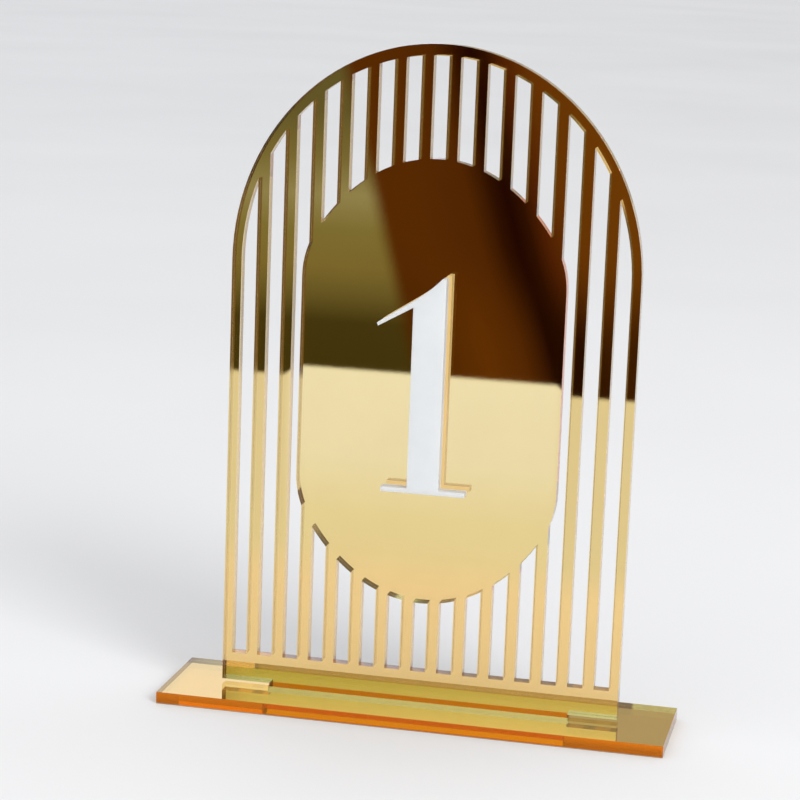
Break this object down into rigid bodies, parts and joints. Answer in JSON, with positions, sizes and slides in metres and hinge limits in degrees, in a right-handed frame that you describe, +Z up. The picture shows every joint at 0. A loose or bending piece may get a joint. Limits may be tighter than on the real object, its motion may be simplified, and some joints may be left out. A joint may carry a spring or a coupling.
{
  "type": "table number holder",
  "caption": "Arch-shaped table number sign in gold mirror acrylic with vertical slots and an oval medallion, plugged into a flat slotted base.",
  "frame": {"origin": "middle of the base plate's underside, on the table", "axes": "+X to the viewer's right along the base, -Y towards the viewer in front of the numeral, +Z up"},
  "size_m": [0.1284, 0.0306, 0.168],
  "materials": {
    "amber_acrylic": "polished clear acrylic, tinted amber",
    "gold_mirror": "mirror",
    "back_paint": "matt protective paint",
    "white_acrylic": "satin opaque acrylic",
    "adhesive_film": "matt adhesive film"
  },
  "bodies": {
    "base": {"base_plate": "amber_acrylic", "base_mirror_film": "gold_mirror", "base_back_paint": "back_paint"},
    "panel": {"arch_panel": "amber_acrylic", "arch_mirror_film": "gold_mirror", "arch_back_paint": "back_paint", "numeral_one": "white_acrylic", "numeral_adhesive": "adhesive_film"}
  },
  "joints": [
    {"name": "panel_lift", "type": "slide", "parent": "base", "child": "panel", "axis": [0, 0, 1], "range_m": [0, 0.012]}
  ]
}
